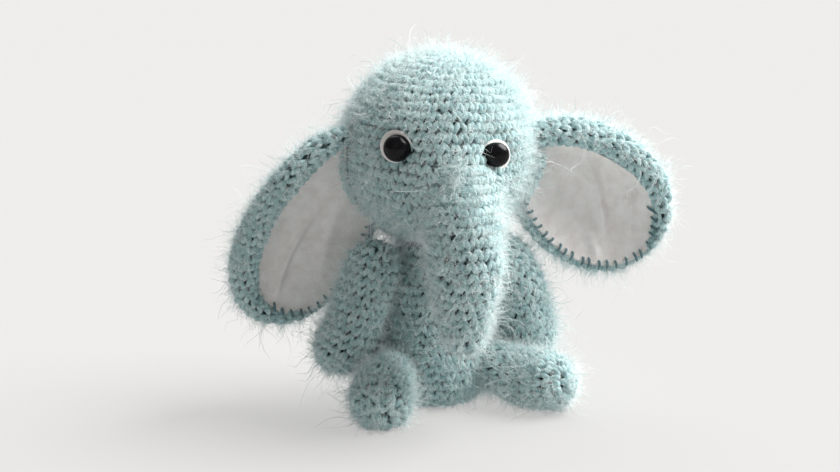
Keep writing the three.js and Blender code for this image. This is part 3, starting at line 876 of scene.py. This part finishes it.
class Ear:
    """The bowl of one ear. A point has its share of the way from the middle to the edge, and its angle."""

    def __init__(self, side):
        self.side = side
        panel = node_points(f"{side}_ear_panel")
        felt = node_points(f"{side}_ear_felt")
        self.root = joint_at(f"{side}_ear_flap")
        middle = felt.mean(0)
        front = np.linalg.svd(felt - middle, full_matrices=False)[2][2]
        self.front = front if (middle - panel.mean(0)) @ front > 0 else -front
        along = middle - self.root
        self.p = unit(along - (along @ self.front) * self.front)
        across = np.cross(self.front, self.p)
        outwards = HEAD_LEFT if side == "left" else -HEAD_LEFT
        self.q = across if across @ (HEAD_UP + outwards) > 0 else -across
        self.length = float(((panel - self.root) @ self.p).max())
        self.width = float(np.ptp((panel - self.root) @ self.q))
        p, q, h = self.local(panel).T
        self.bowl = np.linalg.lstsq(self.terms(p, q), h, rcond=None)[0]

    def local(self, points):
        """Places along and across the ear, and out of its front."""
        return np.stack([(points - self.root) @ axis for axis in (self.p, self.q, self.front)], -1)

    def terms(self, p, q):
        """The powers of p and q that the bowl's shape is made of."""
        p, q = p / BOWL_SCALE[0], q / BOWL_SCALE[1]
        return np.stack([p**i * q**k for i in range(4) for k in range(4 - i)], -1)

    def outline(self, angle):
        """The ear's edge, an egg."""
        p = (self.length - EAR_ROOT) / 2 - (self.length + EAR_ROOT) / 2 * np.cos(angle)
        q = self.width / 2 * np.sin(angle) * (1 - EAR_EGG * np.cos(angle))
        return p, q

    def place(self, p, q, lift):
        """A point of the bowl, raised off its middle surface, and kept outside the head."""
        h = self.terms(p, q) @ self.bowl
        dp = (self.terms(p + 0.5, q) - self.terms(p - 0.5, q)) @ self.bowl
        dq = (self.terms(p, q + 0.5) - self.terms(p, q - 0.5)) @ self.bowl
        normal = unit(self.front - dp[..., None] * self.p - dq[..., None] * self.q)
        point = self.root + p[..., None] * self.p + q[..., None] * self.q + h[..., None] * self.front
        point = point + np.asarray(lift)[..., None] * normal
        away = point - HEAD_CENTRE
        far = np.linalg.norm(away, axis=-1, keepdims=True)
        room = HEAD_RADIUS + EAR_ROOM
        return np.where(far < room, HEAD_CENTRE + away / far * room, point), normal

    def at(self, share, angle, lift=0.0):
        """Points and normals of the bowl."""
        share, angle, lift = np.broadcast_arrays(share, angle, lift)
        p, q = self.outline(angle)
        middle = (self.length - EAR_ROOT) / 2
        return self.place(middle + share * (p - middle), share * q, lift)

    def roll_radius(self, angle):
        """The edge is rolled thickest on top and round to the far end."""
        half, rise = ROLL_BALANCE
        top = np.clip(half + rise * np.sin(angle + ROLL_SHIFT[self.side]), 0, 1)
        return ROLL_RADIUS + ROLL_MORE * top

    def edge_share(self, angle, inwards):
        """The share at which a line lies a distance inside the edge."""
        p, q = self.outline(angle)
        return 1 - inwards / np.hypot(p - (self.length - EAR_ROOT) / 2, q)


class EarBack:
    """The back of an ear as a skin, whose s runs from its middle to its edge."""

    def __init__(self, ear):
        self.ear = ear
        self.length = (ear.length + EAR_ROOT + ear.width) / 4

    def girth(self, s):
        return 2 * math.pi * s

    def at(self, s, angle, lift=0.0):
        s, angle, lift = np.broadcast_arrays(s, angle, lift)
        uneven = EAR_LUMP * lumps(np.stack([s, angle * 6, s], -1), 11, 5)
        point, normal = self.ear.at(s / self.length, angle, -EAR_THICKNESS / 2 - lift - uneven)
        return point, -normal


def ear_roll(ear):
    """The rolled edge as a skin along the outline, open at the root."""
    angle = np.linspace(EAR_OPENING, 2 * math.pi - EAR_OPENING, 160)
    radius = ear.roll_radius(angle)
    centre, _ = ear.at(ear.edge_share(angle, radius * 0.9), angle, radius * 0.55)
    run = run_of(centre)
    even = np.interp(np.linspace(0, run[-1], 40), run, radius)
    return Skin(centre, round_profile(even, run[-1]), ear.front, lump=0.25)


def felt_inset(ear, angle):
    """How far inside the outline the felt ends, and how thick the roll is there, from 0 to 1.

    The felt ends against the roll on top, and over the thin edge at the bottom.
    """
    radius = ear.roll_radius(angle)
    thick = np.clip((radius - ROLL_RADIUS - FELT_CHANGE[0]) / FELT_CHANGE[1], 0, 1)
    beside_roll = FELT_BESIDE[0] * radius + FELT_BESIDE[1]
    return FELT_MARGIN + (beside_roll - FELT_MARGIN) * thick * thick * (3 - 2 * thick), thick


def felt_edge(ear, angle):
    """The share at which the felt ends."""
    return ear.edge_share(angle, felt_inset(ear, angle)[0])


def felt_lift(ear, share, angle):
    """The felt's soft creases, and the lip that its edge makes on the roll."""
    edge_p, edge_q = ear.outline(angle)
    middle = (ear.length - EAR_ROOT) / 2
    p, q = middle + share * (edge_p - middle), share * edge_q
    lift = 0.0
    for at_p, at_q, turn, width, height, reach in CREASES[ear.side]:
        x, y = p - at_p * ear.length, q - at_q * ear.width
        along = x * math.cos(turn) + y * math.sin(turn)
        across = y * math.cos(turn) - x * math.sin(turn) + CREASE_CURVE * along**2
        lift = lift + height * np.exp(-((across / width) ** 2) - (along / reach) ** 4)
    rim = share / felt_edge(ear, angle)
    thick = felt_inset(ear, angle)[1]
    lip = LIP * ear.roll_radius(angle) * thick * rim**26
    return lift + lip + EDGE_RISE * (1 - thick) * rim**10


def whip_stitches(ear, seed):
    """Short slanted stitches of yarn over the felt's edge."""
    own = np.random.default_rng(seed)
    angle = np.linspace(WHIP_OPENING, 2 * math.pi - WHIP_OPENING, 400)
    edge, _ = ear.at(felt_edge(ear, angle), angle)
    run = run_of(edge)
    count = int(run[-1] / WHIP_SPACING)
    at = np.interp((np.arange(count) + own.uniform(0.3, 0.7, count)) * WHIP_SPACING, run, angle)
    at = at[ear.roll_radius(at) < WHIP_THIN_ROLL]
    size = own.uniform(0.8, 1.15, len(at))[:, None]
    slant = own.normal(1, 0.25, len(at))[:, None] / ear.width * 2
    angles = at[:, None] + WHIP_SHAPE[None, :, 1] * slant
    inwards = felt_inset(ear, angles)[0] + WHIP_SHAPE[None, :, 0] * size
    lift = EAR_THICKNESS / 2 + FELT_THICKNESS + WHIP_SHAPE[None, :, 2] + WHIP_LIFT
    point, normal = ear.at(ear.edge_share(angles, inwards), angles, lift)
    radius = np.broadcast_to(WHIP_RADII, point.shape[:2])
    return point, radius, normal


def make_lining(ear, body, turn):
    """The felt sheet on the front of an ear."""
    rows = np.linspace(0.012, 1, 44)[:, None]
    share = rows * felt_edge(ear, turn)
    puff = FELT_PUFF * np.sqrt(np.clip(1 - rows**6, 0, 1))
    lift = EAR_THICKNESS / 2 - FELT_SUNK + felt_lift(ear, share, turn) + puff
    top, _ = ear.at(share, turn, lift + FELT_THICKNESS)
    under, _ = ear.at(share[::-1], turn, lift[::-1])
    sheet = loft(f"{body}_lining", np.concatenate([top, under]), [FELT])
    finish_piece(sheet, body, (f"{ear.side}_ear_felt",))


def make_ear(side, seed):
    """One ear: its fabric, rolled edge, back, fuzz, felt lining and the stitches round it."""
    own = np.random.default_rng(seed)
    ear = Ear(side)
    body = f"{side}_ear"
    turn = np.linspace(0, 2 * math.pi, 128, endpoint=False)[None]
    shares = np.linspace(0.02, EAR_CORE_REACH, 16)
    front, _ = ear.at(shares[:, None], turn, EAR_THICKNESS / 2 - EAR_CORE_INSET[0])
    back, _ = ear.at(shares[::-1, None], turn, -EAR_THICKNESS / 2 + EAR_CORE_INSET[1])
    # The ear's core takes the same dark colour, painted shade between its stitches.
    core = loft(f"{body}_fabric", np.concatenate([front, back]), [SHADE_FABRIC])
    finish_piece(core, body, replaces=(f"{side}_ear_panel",))

    roll, behind = ear_roll(ear), EarBack(ear)
    edge_strands = stitches(roll, 0.5, roll.length - 0.5, None, seed)
    back_strands = stitches(behind, 1.2, behind.length - 0.6, None, seed + 1)
    finish_piece(add_yarn(f"{body}_edge_stitches", edge_strands), body)
    finish_piece(add_yarn(f"{body}_back_stitches", back_strands), body)
    # The rolled edge's core is dark with the same painted shade.
    roll_core = add_fabric(f"{body}_edge_fabric", roll, 0.3, roll.length - 0.3, 120, 14, ROLL_DEPTH)
    finish_piece(roll_core, body)

    middle = ear.at(0.0, 0.0)[0]
    inwards = unit(middle - edge_strands[0][:, 2]) + 0.6 * ear.front
    open_side = (edge_strands[2][:, 2] * inwards).sum(-1) < OPEN_SIDE
    edge_strands = [a[open_side] for a in edge_strands]
    for label, strands in (("edge", edge_strands), ("back", back_strands)):
        for obj in fuzz(f"{body}_{label}_halo", strands, own, EAR_FUZZ):
            finish_piece(obj, body)

    make_lining(ear, body, turn)
    sewing = add_yarn(f"{body}_whip_stitches", whip_stitches(ear, seed + 3), SEWING)
    finish_piece(sewing, body, replaces=(f"{side}_ear_stitch_yarn",))


make_ear("left", 31)
make_ear("right", 37)

# ---- Floor, light and camera, in metres ----
TARGET = Vector((0.0, -0.003, 0.0503))  # what the lights and the camera look at
FLOOR_HALF = 3
AZIMUTH = math.radians(-18)
ELEVATION = math.radians(12)
DISTANCE = 0.56
FOCAL_LENGTH = 81.6
SENSOR_WIDTH = 36
LENS_SHIFT = (-0.016667, -0.003571)


def add_light(name, kind, place, power, color, **settings):
    """A lamp that shines at the toy."""
    lamp = bpy.data.lights.new(name, kind)
    lamp.energy = power
    lamp.color = color
    for key, value in settings.items():
        setattr(lamp, key, value)
    obj = bpy.data.objects.new(name, lamp)
    obj.location = place
    obj.rotation_euler = (TARGET - Vector(place)).to_track_quat("-Z", "Y").to_euler()
    bpy.context.scene.collection.objects.link(obj)


add_light("window", "SUN", (0.8, -0.04, 0.86), 8.6, (1.0, 0.995, 0.985), angle=math.radians(50))
add_light("rim", "SUN", (0.3, 0.8, 0.75), 2.8, (1.0, 1.0, 1.0), angle=math.radians(60))
add_light("fill", "AREA", (-0.5, -0.6, 0.45), 0.4, (1.0, 0.98, 0.97), size=0.7)

world = bpy.data.worlds.new("studio")
world.use_nodes = True
background = world.node_tree.nodes["Background"]
background.inputs["Color"].default_value = (0.93, 0.91, 0.90, 1)
background.inputs["Strength"].default_value = 0.22
bpy.context.scene.world = world

TABLE_TOP = plain_material(
    "table_top", (0.13, 0.1285, 0.1265), 0.9, Specular_IOR_Level=0.0,
    Emission_Color=(0.97, 0.963, 0.95, 1), Emission_Strength=0.52,
)
floor_corners = [(FLOOR_HALF * x, FLOOR_HALF * y, 0) for x, y in ((-1, -1), (1, -1), (1, 1), (-1, 1))]
floor_mesh = bpy.data.meshes.new("floor")
floor_mesh.from_pydata(floor_corners, [], [(0, 1, 2, 3)])
floor_mesh.materials.append(TABLE_TOP)
floor = bpy.data.objects.new("floor", floor_mesh)
bpy.context.scene.collection.objects.link(floor)

lens = bpy.data.cameras.new("camera")
lens.lens = FOCAL_LENGTH
lens.sensor_width = SENSOR_WIDTH
lens.shift_x, lens.shift_y = LENS_SHIFT
level = math.cos(ELEVATION)
back = Vector((math.sin(AZIMUTH) * level, -math.cos(AZIMUTH) * level, math.sin(ELEVATION)))
camera = bpy.data.objects.new("camera", lens)
camera.location = TARGET + DISTANCE * back
camera.rotation_euler = (-back).to_track_quat("-Z", "Y").to_euler()
bpy.context.scene.collection.objects.link(camera)
bpy.context.scene.camera = camera
bpy.context.scene.view_settings.view_transform = "Standard"
